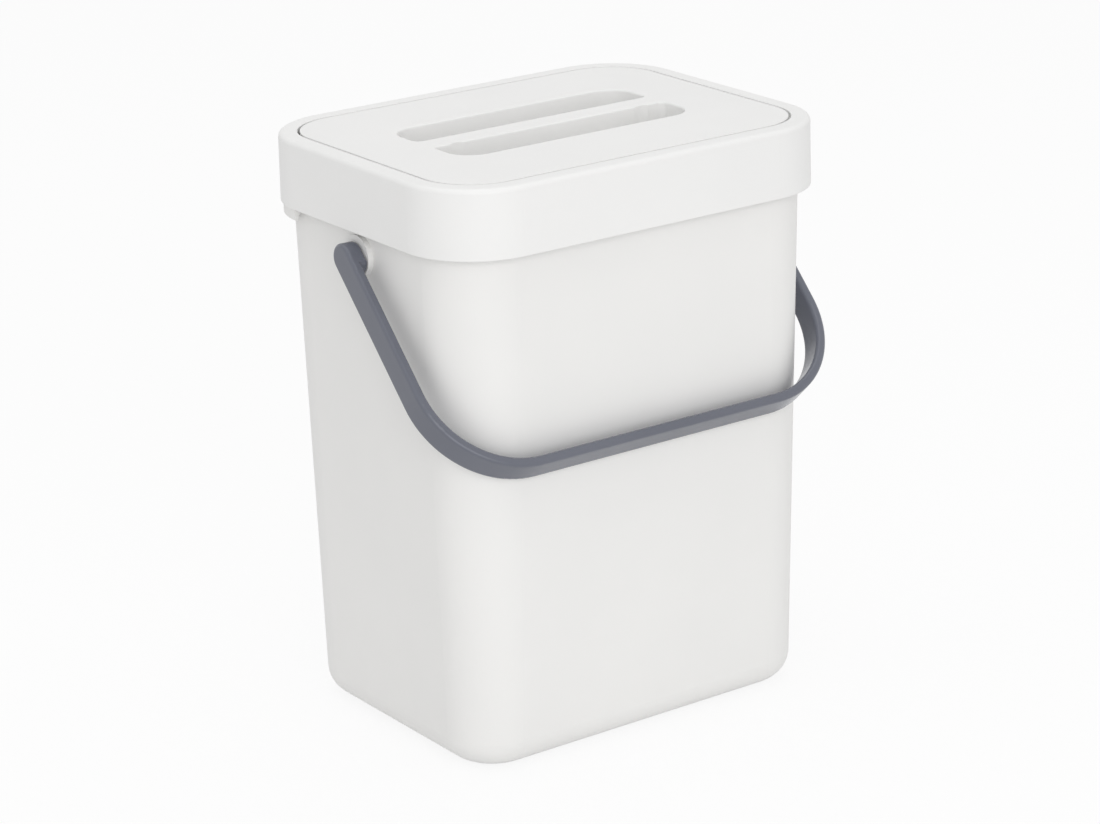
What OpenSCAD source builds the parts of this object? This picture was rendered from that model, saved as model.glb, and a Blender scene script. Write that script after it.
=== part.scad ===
// Compost caddy with a hinged lid, a lift-off lid frame and a swinging bail.
// The body stands on Z = 0, its wide front faces -Y, and X runs along the front.

/* [Overall] */
// Width across the lid frame
caddy_w = 186; // [155:1:230]
// Depth across the lid frame
caddy_d = 144.8; // [120:0.1:180]
// Height from the table to the top of the lid
caddy_h = 240; // [200:1:290]
// Corner radius of the lid frame, seen from above
corner_r = 31.4; // [26:0.1:36]

/* [Bucket] */
// Wall thickness of the bucket
wall = 2; // [1.6:0.1:2.4]
// How far the bucket's wall stands in from the frame's top edge, just under the skirt
wall_inset = 5; // [4.6:0.1:6]
// How much narrower each side is at the base than just under the skirt
wall_taper = 4.6; // [3:0.1:6]
// Radius where the walls turn into the floor, outside
base_fillet = 12; // [8:0.5:14]
// How far the mouth steps out from the wall, hidden inside the skirt
mouth_step = 1.8; // [1.6:0.1:2]
// Height of the wider mouth
mouth_h = 22; // [18:0.5:24]

/* [Lid frame] */
// Height of the skirt, over which the frame hides the bucket's mouth
skirt_h = 27.7; // [24:0.1:34]
// Wall thickness of the skirt
skirt_wall = 2; // [1.6:0.1:2.2]
// How far the skirt spreads from its top to its lower edge
skirt_flare = 0.3; // [0:0.1:0.6]
// Thickness of the frame's top rim
rim_t = 2.4; // [2:0.1:3]
// Radius of the rim's outer edge
rim_round = 2; // [1:0.1:2.3]
// Radius on both edges of the seam round the lid
seam_round = 0.3; // [0.2:0.1:0.6]
// Width of the rim, from the frame's top edge in to the lid's seam
rim_w = 7.55; // [7:0.05:9]
// Thickness of the collar that hangs into the mouth and clamps the bag
collar_wall = 1.8; // [1.4:0.1:2]
// Width of the ledge that the lid rests on
ledge_w = 5.8; // [5:0.1:8]

/* [Lid] */
// Thickness of the lid panel
panel_t = 2.6; // [2.2:0.1:3]
// Gap between the lid and the frame, all round
seam = 1; // [0.9:0.05:1.2]
// Length of the two grip pockets
grip_l = 112; // [90:1:120]
// Distance across both pockets and the bar between them
grip_w = 54; // [46:1:60]
// Width of the bar between the pockets
bar_w = 11; // [9:0.5:14]
// Depth of the pockets
grip_h = 18; // [12:0.5:22]
// How far the pockets sit behind the middle of the lid
grip_back = 1.5; // [0:0.1:4]
// Corner radius of the pockets on their outer side
grip_r = 11; // [8:0.5:14]
// Corner radius of the pockets on the bar's side
bar_r = 3; // [2.6:0.1:4]
// Radius on the pockets' top edges
grip_round = 0.8; // [0.4:0.1:1.2]
// Thickness of the pockets' walls and floors
grip_wall = 1.8; // [1.4:0.1:2.2]

/* [Hinge] */
// How far the hinge axis lies in front of the lid's back edge
hinge_in = 21.5; // [21.2:0.1:26]
// How far the hinge axis lies below the top of the lid
hinge_down = 3.6; // [3.4:0.1:3.8]
// Radius of the hinge pins
pin_r = 1.2; // [1:0.05:1.3]
// Length of each hinge pin inside its knuckle
pin_l = 4; // [3:0.1:5]

/* [Bail] */
// Width of the bail's strap
strap_w = 12; // [10:0.1:14]
// Thickness of the bail's strap
strap_t = 4; // [3.6:0.1:5]
// Radius on the strap's edges
strap_round = 1.4; // [0.8:0.1:1.7]
// How much wider the bail's bends are than the frame's corners
bend_more = 8.4; // [5:0.1:12]
// Gap between the skirt and the bail's arms
arm_gap = 0.3; // [0.3:0.1:1]
// Room for the fingers between the lid's edge and the bail when it stands up
finger_room = 18.8; // [14:0.1:24]
// How far the pivot lies below the skirt
pivot_drop = 10.3; // [9.6:0.1:16]
// Radius of the bail's pivot pegs
peg_r = 4; // [3:0.1:5]
// Radius of the thick pad at the foot of each arm, about the pivot
pad_r = 7.8; // [7:0.1:8.4]
// Radius of the round bosses that the bail's ears turn on
boss_r = 8.2; // [7:0.1:9]
// How far the bosses stand out from the bucket's wall
boss_h = 2.4; // [2:0.1:2.8]

/* [Hang rail] */
// How far the rail's lip stands out from the bucket's wall
rail_out = 4.3; // [4:0.1:4.6]
// How far the lip reaches below the skirt
rail_drop = 4.8; // [3:0.1:6]
// Thickness of the lip
rail_t = 1.5; // [1.2:0.1:1.6]
// Thickness of the web that carries the lip
rail_web = 1.2; // [1:0.1:1.3]

/* [Fits] */
// Radial clearance of a pin in its bore
running_fit = 0.05; // [0.02:0.01:0.08]
// Clearance between pieces that pass each other
clearance = 0.3; // [0.25:0.05:0.5]

/* [Hidden] */
$fn = 96;

white = [0.93, 0.93, 0.925];
slate = [0.38, 0.40, 0.46];
past = 1;                               // how far a cutter runs past a face
ease = 0.5;                             // radius on the small edges a hand meets
quarters = [0, 90, 180, 270];

// The corner centres, which every rounded rectangle here shares.
corner_x = caddy_w / 2 - corner_r;
corner_y = caddy_d / 2 - corner_r;

// Heights.
skirt_z = caddy_h - skirt_h;            // lower edge of the skirt
rim_z = caddy_h - rim_t;                // top of the bucket's mouth, under the rim
ledge_z = caddy_h - panel_t;            // where the lid rests
ledge_t = 2.2;                          // thickness of that ledge
mouth_z = rim_z - mouth_h;              // where the mouth starts to step out
pivot_z = skirt_z - pivot_drop;

// Bucket wall: its outer face leans out by a fixed amount per millimetre.
wall_top = corner_r - wall_inset;
wall_base = wall_top - wall_taper;
lean = wall_taper / skirt_z;
function wall_at(z) = wall_base + lean * z;
mouth_r = wall_at(mouth_z) + mouth_step;

// Frame.
skirt_r = corner_r + skirt_flare;
seat_r = corner_r - rim_w;              // the upright face round the lid
collar_z = mouth_z + mouth_step + clearance;
panel_r = seat_r - seam;

// Hinge.
hinge_y = corner_y + panel_r - hinge_in;
hinge_z = caddy_h - hinge_down;
knuckle_wall = 1.2;
knuckle_r = pin_r + knuckle_wall;
lug_t = 2;                              // thickness of the lugs that carry the pins
pin_end = 0.4;                          // room past the pin's end in its blind bore
function across_at(r) = corner_x + sqrt(pow(r, 2) - pow(hinge_y - corner_y, 2));
knuckle_x = across_at(seat_r - ledge_w) - 2 * clearance;
knuckle_l = across_at(seat_r) + collar_wall / 2 - knuckle_x;

// Snap heads of the bail's pegs, inside the bucket.
head_t = 1.6;
head_step = 0.8;                        // how far the head reaches past the bore
head_gap = 0.8;                         // between the head and the bucket's wall
head_split = 1.6;                       // width of the slot that lets the head close up

// Bail. It lies against the front wall at rest_angle below the horizontal, which is
// near 45 degrees, so its bends come closer to the bucket's corners by bend_bite.
boss_x = corner_x + wall_at(pivot_z) + boss_h;
arm_in = corner_x + skirt_r + arm_gap;
arm_out = arm_in + strap_t;
ear_in = boss_x + clearance;            // inner face of the pads and ears
ear_t = arm_out - ear_in;
bend_r = corner_r + bend_more;
reach = norm([caddy_d / 2, caddy_h - pivot_z]) + finger_room;
edge_u = reach + strap_round;
edge_v = strap_w / 2 - strap_round;
bend_start = max(0, corner_x - arm_out + bend_r);       // how far the bends reach into the front
bend_bite = pow(bend_start, 2) / (2 * (sqrt(2) * (bend_r - strap_t) - wall_top));
touch = corner_y + wall_at(pivot_z) + (strap_round + clearance) * sqrt(1 + lean * lean) + bend_bite;
lever_a = edge_u + lean * edge_v;
lever_b = lean * edge_u - edge_v;
rest_angle = atan2(lever_b, lever_a) + acos(touch / norm([lever_a, lever_b]));

// Sweeps a section round the rounded rectangle of the corner centres.
// The section's x is the distance out from the corner centres, its y is the height.
function across(a) = a % 180 == 0 ? corner_x : corner_y;
function along(a) = a % 180 == 0 ? corner_y : corner_x;

module swept(corners = quarters, sides = quarters) {
    for (a = corners)
        rotate(a) translate([across(a), along(a), 0])
            rotate_extrude(angle = 90) children();
    for (a = sides)
        rotate(a) translate([across(a), along(a), 0])
            rotate([90, 0, 0]) linear_extrude(2 * along(a)) children();
}

// The slab between the corner centres, which closes a section that starts at x = 0.
module core(z, t) {
    translate([-corner_x, -corner_y, z]) cube([2 * corner_x, 2 * corner_y, t]);
}

// A square corner's waste outside a round of radius r; the corner is at the origin
// and the material lies toward -x and -y.
module edge_waste(r) {
    difference() {
        translate([-r, -r]) square(r + past);
        translate([-r, -r]) circle(r);
    }
}

// A sector of a circle about [x, y], from angle a0 to a1, under half a turn.
module sector(x, y, r, a0, a1) {
    far = 2 * r;
    mid = (a0 + a1) / 2;
    translate([x, y]) intersection() {
        circle(r);
        polygon([[0, 0], for (a = [a0, mid, a1]) far * [cos(a), sin(a)]]);
    }
}

// Outline of the bucket's outside, or with t > 0 of its inside.
module bucket_outline(t, top) {
    turn = base_fillet;
    tilt = atan(lean);
    turn_x = wall_at(turn) - turn / cos(tilt);
    r = turn - t;
    polygon([
        [0, t],
        [turn_x, t],
        [turn_x + r * cos(tilt), turn - r * sin(tilt)],
        [wall_at(mouth_z) - t, mouth_z],
        [mouth_r - t, mouth_z + mouth_step],
        [mouth_r - t, top],
        [0, top]
    ]);
    sector(turn_x, turn, r, -90, -tilt);
}

module bucket_section() {
    difference() {
        bucket_outline(0, rim_z);
        bucket_outline(wall, rim_z + past);
        translate([mouth_r, rim_z]) edge_waste(ease);
        translate([mouth_r - wall, rim_z]) mirror([1, 0]) edge_waste(ease);
    }
}

// The hang rail: a lip below the skirt on a web that hangs from the mouth's wall,
// with a slot between the rail and the bucket's wall.
module rail_section() {
    lip = wall_at(skirt_z) + rail_out;
    low = skirt_z - rail_drop;
    web_out = skirt_r - skirt_wall - 2 * clearance;
    web_in = web_out - rail_web;
    root = mouth_z + mouth_step;
    difference() {
        polygon([
            [lip - rail_t, low],
            [lip, low],
            [lip, skirt_z - clearance],
            [web_out, skirt_z - clearance],
            [web_out, root + rail_t],
            [web_in, root + 2 * rail_t],
            [web_in, low + 2 * rail_t],
            [lip - rail_t, low + rail_t]
        ]);
        translate([lip, low]) mirror([0, 1]) edge_waste(ease);
    }
}

module bucket() color(white) {
    difference() {
        union() {
            swept() bucket_section();
            core(0, wall);
            swept(corners = [0, 90], sides = [90]) rail_section();
            for (s = [-1, 1])
                translate([s * (boss_x - boss_h - past), 0, pivot_z])
                    rotate([0, s * 90, 0]) cylinder(r = boss_r, h = boss_h + past);
        }
        for (s = [-1, 1])
            translate([s * (boss_x - boss_h - wall - past), 0, pivot_z])
                rotate([0, s * 90, 0]) cylinder(r = peg_r + running_fit, h = boss_h + wall + 2 * past);
    }
}

module frame_section() {
    skirt_in = skirt_r - skirt_wall;
    collar_out = seat_r + collar_wall;
    difference() {
        polygon([
            [seat_r, collar_z],
            [seat_r, caddy_h],
            [corner_r, caddy_h],
            [skirt_r, skirt_z],
            [skirt_in, skirt_z],
            [skirt_in - skirt_flare * (rim_z - skirt_z) / skirt_h, rim_z],
            [collar_out, rim_z],
            [collar_out, collar_z]
        ]);
        translate([corner_r, caddy_h]) edge_waste(rim_round);
        translate([seat_r, caddy_h]) mirror([1, 0]) edge_waste(seam_round);
        translate([skirt_r, skirt_z]) mirror([0, 1]) edge_waste(ease);
    }
}

module ledge_section() {
    translate([seat_r - ledge_w, ledge_z - ledge_t]) square([ledge_w + collar_wall / 2, ledge_t]);
}

module lid_frame() color(white) {
    difference() {
        union() {
            swept() frame_section();
            difference() {
                swept() ledge_section();
                translate([-caddy_w / 2, hinge_y - clearance, ledge_z - ledge_t - past])
                    cube([caddy_w, caddy_d, ledge_t + 2 * past]);
            }
            for (s = [-1, 1]) knuckle(s);
        }
        for (s = [-1, 1])
            translate([s * (knuckle_x - past), hinge_y, hinge_z])
                rotate([0, s * 90, 0]) cylinder(r = pin_r + running_fit, h = pin_l + past + pin_end);
    }
}

// A knuckle between the ledge's rear end and the collar, on a block under the ledge.
module knuckle(s) {
    block_l = 2 * knuckle_r;
    block_h = knuckle_r + hinge_down - panel_t - clearance;
    translate([s * knuckle_x, hinge_y, hinge_z]) {
        rotate([0, s * 90, 0]) cylinder(r = knuckle_r, h = knuckle_l);
        translate([s > 0 ? 0 : -knuckle_l, -block_l, -knuckle_r]) cube([knuckle_l, block_l, block_h]);
    }
}

// One grip pocket's outline: wide corners outside, tight ones beside the bar.
module pocket_outline(grow) {
    half_l = grip_l / 2 + grow;
    near = bar_w / 2 - grow;
    far = grip_w / 2 + grow;
    outer_r = grip_r + grow;
    inner_r = bar_r + grow;
    translate([-half_l + outer_r, far - outer_r]) circle(outer_r);
    translate([half_l - outer_r, far - outer_r]) circle(outer_r);
    translate([-half_l + inner_r, near + inner_r]) circle(inner_r);
    translate([half_l - inner_r, near + inner_r]) circle(inner_r);
    polygon([
        [-half_l + outer_r, far],
        [-half_l, far - outer_r],
        [-half_l, near + inner_r],
        [-half_l + inner_r, near],
        [half_l - inner_r, near],
        [half_l, near + inner_r],
        [half_l, far - outer_r],
        [half_l - outer_r, far]
    ]);
}

// The waste above the rounded top edge of one grip pocket: a sweep round its outline.
module pocket_rim() {
    far = grip_w / 2;
    near = bar_w / 2;
    outer_x = grip_l / 2 - grip_r;
    inner_x = grip_l / 2 - bar_r;
    for (s = [0, 1]) mirror([s, 0, 0]) {
        translate([outer_x, far - grip_r, 0]) rotate_extrude(angle = 90) rim_waste(grip_r);
        translate([inner_x, near + bar_r, 0]) rotate(-90) rotate_extrude(angle = 90) rim_waste(bar_r);
        translate([grip_l / 2, far - grip_r, 0]) rotate([90, 0, 0])
            linear_extrude(far - grip_r - near - bar_r) rim_waste(0);
    }
    translate([-outer_x, far, 0]) rotate(90) rotate([90, 0, 0]) linear_extrude(2 * outer_x) rim_waste(0);
    translate([inner_x, near, 0]) rotate(-90) rotate([90, 0, 0]) linear_extrude(2 * inner_x) rim_waste(0);
}

module rim_waste(r) {
    translate([r, grip_h]) mirror([1, 0]) edge_waste(grip_round);
}

module panel_section() {
    difference() {
        translate([0, ledge_z]) square([panel_r, panel_t]);
        translate([panel_r, caddy_h]) edge_waste(seam_round);
    }
}

module lid_panel() color(white) {
    difference() {
        union() {
            swept() panel_section();
            core(ledge_z, panel_t);
            for (side = [0, 180])
                translate([0, grip_back, caddy_h - grip_h - grip_wall]) rotate(side)
                    linear_extrude(grip_h + grip_wall - panel_t / 2) pocket_outline(grip_wall);
        }
        for (side = [0, 180])
            translate([0, grip_back, caddy_h - grip_h]) rotate(side) {
                linear_extrude(grip_h + past) pocket_outline(0);
                pocket_rim();
            }
        // Room for the knuckles.
        for (s = [-1, 1])
            translate([s * (knuckle_x - clearance), hinge_y, hinge_z]) rotate([0, s * 90, 0])
                cylinder(r = knuckle_r + clearance, h = knuckle_l + clearance);
    }
    for (s = [-1, 1]) hinge_lug(s);
}

// A lug under the panel that carries a hinge pin.
module hinge_lug(s) {
    translate([s * (knuckle_x - clearance - lug_t), hinge_y, hinge_z]) {
        rotate([0, s * 90, 0]) cylinder(r = knuckle_r, h = lug_t);
        rotate([0, s * 90, 0]) cylinder(r = pin_r, h = lug_t + clearance + pin_l);
        translate([s > 0 ? 0 : -lug_t, -knuckle_r, 0])
            cube([lug_t, 2 * knuckle_r, hinge_down - panel_t / 2]);
    }
}

// The section of the strap, or with t > strap_t of its pads, from its inner face at x = inner.
module strap_section(inner, t = strap_t) {
    x0 = inner + strap_round;
    x1 = inner + t - strap_round;
    y1 = strap_w / 2 - strap_round;
    for (x = [x0, x1], y = [-y1, y1]) translate([x, y]) circle(strap_round);
    polygon([
        [x0, -strap_w / 2],
        [x1, -strap_w / 2],
        [inner + t, -y1],
        [inner + t, y1],
        [x1, strap_w / 2],
        [x0, strap_w / 2],
        [inner, y1],
        [inner, -y1]
    ]);
}

// The bail lying flat toward -Y, with its pivot axis on X.
module bail_flat() {
    bend_in = bend_r - strap_t;
    bend_x = arm_out - bend_r;
    bend_y = reach + strap_t - bend_r;
    for (s = [0, 1]) mirror([s, 0, 0]) {
        // Arm.
        rotate([90, 0, 0]) linear_extrude(bend_y) strap_section(arm_in);
        // Bend.
        translate([bend_x, -bend_y, 0]) rotate(-90) rotate_extrude(angle = 90) strap_section(bend_in);
        // Ear, half a turn of the strap's edge about the pivot.
        translate([ear_in, 0, 0]) rotate([0, 90, 0]) rotate_extrude(angle = 180) ear_section();
        // Pad, which thickens the arm's foot inward to the bucket's boss.
        intersection() {
            rotate([90, 0, 0]) linear_extrude(pad_r) strap_section(ear_in, ear_t);
            translate([ear_in - past, 0, 0]) rotate([0, 90, 0]) cylinder(r = pad_r, h = ear_t + 2 * past);
        }
        translate([boss_x - boss_h - wall - head_gap - head_t, 0, 0]) rotate([0, 90, 0]) peg();
    }
    // Crossbar.
    rotate(-90) translate([0, bend_x, 0]) rotate([90, 0, 0]) linear_extrude(2 * bend_x) strap_section(reach);
}

module ear_section() {
    r = strap_w / 2;
    for (y = [strap_round, ear_t - strap_round]) translate([r - strap_round, y]) circle(strap_round);
    polygon([
        [0, 0],
        [r - strap_round, 0],
        [r, strap_round],
        [r, ear_t - strap_round],
        [r - strap_round, ear_t],
        [0, ear_t]
    ]);
}

// A peg with a split snap head, which springs through the bucket's wall.
module peg() {
    head_r = peg_r + head_step;
    difference() {
        union() {
            cylinder(r = peg_r, h = head_t + head_gap + wall + boss_h + clearance + past);
            cylinder(r1 = head_r - head_t / 2, r2 = head_r, h = head_t / 2);
            translate([0, 0, head_t / 2]) cylinder(r = head_r, h = head_t / 2);
        }
        translate([-head_r - past, -head_split / 2, -past])
            cube([2 * (head_r + past), head_split, past + head_t + head_gap + wall / 2]);
    }
}

module bail_handle() color(slate) {
    translate([0, 0, pivot_z]) rotate([rest_angle, 0, 0]) bail_flat();
}

bucket();
lid_frame();
lid_panel();
bail_handle();
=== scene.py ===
import math

import bpy
from mathutils import Matrix, Vector

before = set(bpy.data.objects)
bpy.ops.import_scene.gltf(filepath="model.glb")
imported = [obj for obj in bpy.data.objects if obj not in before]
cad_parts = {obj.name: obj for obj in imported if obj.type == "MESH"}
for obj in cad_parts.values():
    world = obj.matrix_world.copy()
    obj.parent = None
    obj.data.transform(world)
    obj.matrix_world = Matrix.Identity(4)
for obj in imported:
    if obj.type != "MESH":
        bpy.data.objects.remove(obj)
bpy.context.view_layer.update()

# ---------------------------------------------------------------- camera, at the photograph's angle
TARGET = Vector((0.0, 0.0, 0.120))      # the caddy's middle
AZIMUTH = math.radians(-35.26)
ELEVATION = math.radians(18.78)
ROLL = math.radians(-1.53)
DISTANCE = 1.41077
LENS = 113.41                           # mm
SENSOR = 36.0                           # mm
SHIFT = (-0.0019, -0.0031)
CLIP = (0.05, 50.0)


def make_camera():
    level = math.cos(ELEVATION)
    back = Vector((math.sin(AZIMUTH) * level, -math.cos(AZIMUTH) * level, math.sin(ELEVATION)))
    right = Vector((math.cos(AZIMUTH), math.sin(AZIMUTH), 0.0))
    up = back.cross(right)
    rolled_right = math.cos(ROLL) * right + math.sin(ROLL) * up
    rolled_up = math.cos(ROLL) * up - math.sin(ROLL) * right
    data = bpy.data.cameras.new("camera")
    data.sensor_width = SENSOR
    data.sensor_fit = "HORIZONTAL"
    data.lens = LENS
    data.shift_x, data.shift_y = SHIFT
    data.clip_start, data.clip_end = CLIP
    cam = bpy.data.objects.new("camera", data)
    turn = Matrix((rolled_right, rolled_up, back)).transposed().to_4x4()
    cam.matrix_world = Matrix.Translation(TARGET + DISTANCE * back) @ turn
    bpy.context.scene.collection.objects.link(cam)
    bpy.context.scene.camera = cam


# ---------------------------------------------------------------- node trees
# These sockets share a name with others of their node, so they are found by their place.
MIX_COLOUR_A, MIX_COLOUR_B, MIX_COLOUR_OUT = 6, 7, 2
MIX_SHADER_A, MIX_SHADER_B = 1, 2


class Graph:
    """A small helper for writing node trees."""

    def __init__(self, tree):
        self.tree = tree
        tree.nodes.clear()

    def node(self, kind, settings=None, **inputs):
        made = self.tree.nodes.new(kind)
        for key, value in (settings or {}).items():
            setattr(made, key, value)
        for key, value in inputs.items():
            self.put(made, key.replace("_", " "), value)
        return made

    def put(self, made, key, value):
        socket = made.inputs[key]
        if isinstance(value, bpy.types.NodeSocket):
            self.tree.links.new(value, socket)
        else:
            socket.default_value = value

    def noise(self, where, scale, detail=2.0, rough=0.5):
        made = self.node("ShaderNodeTexNoise", {"noise_dimensions": "3D"},
                         Scale=scale, Detail=detail, Roughness=rough, Vector=where)
        return made.outputs["Fac"]

    def remap(self, value, low, high, out_low, out_high):
        made = self.node("ShaderNodeMapRange", {"clamp": True}, Value=value,
                         From_Min=low, From_Max=high, To_Min=out_low, To_Max=out_high)
        return made.outputs["Result"]

    def mix(self, fac, one, two):
        made = self.node("ShaderNodeMix", {"data_type": "RGBA"}, Factor=fac)
        self.put(made, MIX_COLOUR_A, one)
        self.put(made, MIX_COLOUR_B, two)
        return made.outputs[MIX_COLOUR_OUT]

    def mix_shaders(self, fac, one, two):
        made = self.node("ShaderNodeMixShader", Fac=fac)
        self.put(made, MIX_SHADER_A, one)
        self.put(made, MIX_SHADER_B, two)
        return made.outputs["Shader"]


# ---------------------------------------------------------------- materials
# Colours are linear. Each plastic has a lighter and a slightly darker tone.
BUCKET_WHITE = ((0.872, 0.866, 0.852, 1.0), (0.852, 0.847, 0.834, 1.0))
LID_WHITE = ((0.876, 0.873, 0.864, 1.0), (0.858, 0.856, 0.848, 1.0))
HANDLE_SLATE = ((0.142, 0.150, 0.184, 1.0), (0.128, 0.136, 0.168, 1.0))
PLASTIC_IOR = 1.49

# Noise scales are in cycles per metre.
CLOUD_SCALE = 14.0                      # cloudy colour, about 70 mm across
SPECK_SCALE = 900.0                     # fine specks, about 1 mm across
SPECK_SHARE = 0.25
GLOSS_SCALE = 60.0                      # patches of slightly different gloss
GLOSS_SPREAD = 0.035
WAVE_SCALE = 28.0                       # the faint waviness of a moulded wall
WAVE_STRENGTH = 0.10
WAVE_HEIGHT = 0.0004
GRAIN_HEIGHT = 0.00004                  # the mould's fine texture
BEVEL_SAMPLES = 6


def moulded_plastic(name, tones, rough, grain, grain_strength, soft_edge, seed):
    """Satin moulded plastic: faint cloudy colour, fine mould texture and slightly eased edges."""
    material = bpy.data.materials.new(name)
    material.use_nodes = True
    g = Graph(material.node_tree)
    coords = g.node("ShaderNodeTexCoord").outputs["Object"]
    where = g.node("ShaderNodeMapping", Location=(seed, 2 * seed, 3 * seed), Vector=coords).outputs["Vector"]

    light, dark = tones
    cloud = g.remap(g.noise(where, CLOUD_SCALE, 3.0), 0.35, 0.65, 0.0, 1.0)
    speck = g.remap(g.noise(where, SPECK_SCALE, 1.0), 0.30, 0.75, 0.0, SPECK_SHARE)
    tone = g.mix(speck, g.mix(cloud, light, dark), dark)
    gloss = g.noise(where, GLOSS_SCALE, 4.0, 0.6)
    roughness = g.remap(gloss, 0.3, 0.7, rough - GLOSS_SPREAD, rough + GLOSS_SPREAD)

    eased = g.node("ShaderNodeBevel", {"samples": BEVEL_SAMPLES}, Radius=soft_edge).outputs["Normal"]
    wave = g.node("ShaderNodeBump", Strength=WAVE_STRENGTH, Distance=WAVE_HEIGHT,
                  Height=g.noise(where, WAVE_SCALE, 1.0), Normal=eased)
    bump = g.node("ShaderNodeBump", Strength=grain_strength, Distance=GRAIN_HEIGHT,
                  Height=g.noise(where, grain, 2.0, 0.6), Normal=wave.outputs["Normal"])

    shader = g.node("ShaderNodeBsdfPrincipled", Base_Color=tone, Roughness=roughness,
                    IOR=PLASTIC_IOR, Normal=bump.outputs["Normal"])
    g.node("ShaderNodeOutputMaterial", Surface=shader.outputs["BSDF"])
    return material


def dress(node, material):
    """Gives every material slot of a CAD node this material."""
    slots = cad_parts[node].data.materials
    if len(slots) == 0:
        slots.append(material)
    for index in range(len(slots)):
        slots[index] = material


def make_materials():
    """The bucket, the lid's two pieces and the handle. The last number shifts each piece's noise."""
    dress("bucket", moulded_plastic("bucket_plastic", BUCKET_WHITE, 0.46, 2600.0, 0.35, 0.00025, 1.7))
    dress("lid_frame", moulded_plastic("frame_plastic", LID_WHITE, 0.44, 2600.0, 0.30, 0.00015, 4.1))
    dress("lid_panel", moulded_plastic("lid_plastic", LID_WHITE, 0.44, 2600.0, 0.30, 0.00015, 6.3))
    dress("bail_handle", moulded_plastic("handle_plastic", HANDLE_SLATE, 0.20, 2200.0, 0.20, 0.0002, 8.9))


# ---------------------------------------------------------------- floor, world and lamps
PURE_WHITE = (1.0, 1.0, 1.0, 1.0)
SHOWN_STRENGTH = 1.0                    # what the camera and reflections see is white, no more
FLOOR_SIZE = 14.0
FLOOR_SHOWN = (0.97, 0.97, 0.97, 1.0)   # the part of the floor that shows the shadow
FLOOR_BOUNCE = (0.86, 0.86, 0.86, 1.0)  # what the floor gives back to the object
FLOOR_GLOW = 0.86                       # share of plain white in the floor that is seen
SKY_LIGHT = 0.65

AIM = TARGET
KEY_PLACE = (-0.95, -2.2, 0.9)          # front left
KEY_SIZE = (2.4, 1.7)
KEY_POWER = 20.5
TOP_PLACE = (0.0, 0.1, 2.2)
TOP_SIZE = (2.0, 2.0)
TOP_POWER = 10.0


def seen_by_eye(g):
    """1 for camera rays and for glossy and transmission rays, 0 for the rest."""
    path = g.node("ShaderNodeLightPath")
    total = path.outputs["Is Camera Ray"]
    for name in ("Is Glossy Ray", "Is Transmission Ray"):
        either = g.node("ShaderNodeMath", {"operation": "MAXIMUM"})
        g.put(either, 0, total)
        g.put(either, 1, path.outputs[name])
        total = either.outputs["Value"]
    return total


def make_floor():
    """A pale floor: near white where it is seen, with a faint shadow kept, and grey white as a reflector."""
    half = FLOOR_SIZE / 2
    corners = [(-half, -half, 0), (half, -half, 0), (half, half, 0), (-half, half, 0)]
    mesh = bpy.data.meshes.new("floor")
    mesh.from_pydata(corners, [], [(0, 1, 2, 3)])
    floor = bpy.data.objects.new("floor", mesh)
    bpy.context.scene.collection.objects.link(floor)
    material = bpy.data.materials.new("floor_white")
    material.use_nodes = True
    g = Graph(material.node_tree)
    bounce = g.node("ShaderNodeBsdfDiffuse", Color=FLOOR_BOUNCE).outputs["BSDF"]
    shaded = g.node("ShaderNodeBsdfDiffuse", Color=FLOOR_SHOWN).outputs["BSDF"]
    glow = g.node("ShaderNodeEmission", Color=PURE_WHITE, Strength=SHOWN_STRENGTH).outputs["Emission"]
    shown = g.mix_shaders(FLOOR_GLOW, shaded, glow)
    g.node("ShaderNodeOutputMaterial", Surface=g.mix_shaders(seen_by_eye(g), bounce, shown))
    mesh.materials.append(material)


def make_world():
    """An even white surround, dimmer as a light than as it is seen."""
    world = bpy.data.worlds.new("studio")
    bpy.context.scene.world = world
    world.use_nodes = True
    g = Graph(world.node_tree)
    light = g.node("ShaderNodeBackground", Color=PURE_WHITE, Strength=SKY_LIGHT).outputs["Background"]
    shown = g.node("ShaderNodeBackground", Color=PURE_WHITE, Strength=SHOWN_STRENGTH).outputs["Background"]
    g.node("ShaderNodeOutputWorld", Surface=g.mix_shaders(seen_by_eye(g), light, shown))


def softbox(name, place, size, power):
    data = bpy.data.lights.new(name, "AREA")
    data.shape = "RECTANGLE"
    data.size, data.size_y = size
    data.energy = power
    lamp = bpy.data.objects.new(name, data)
    lamp.location = place
    lamp.rotation_euler = (AIM - Vector(place)).to_track_quat("-Z", "Y").to_euler()
    bpy.context.scene.collection.objects.link(lamp)


def make_lamps():
    softbox("key_softbox", KEY_PLACE, KEY_SIZE, KEY_POWER)
    softbox("top_softbox", TOP_PLACE, TOP_SIZE, TOP_POWER)


make_camera()
make_materials()
make_floor()
make_world()
make_lamps()
bpy.context.scene.view_settings.view_transform = "Standard"
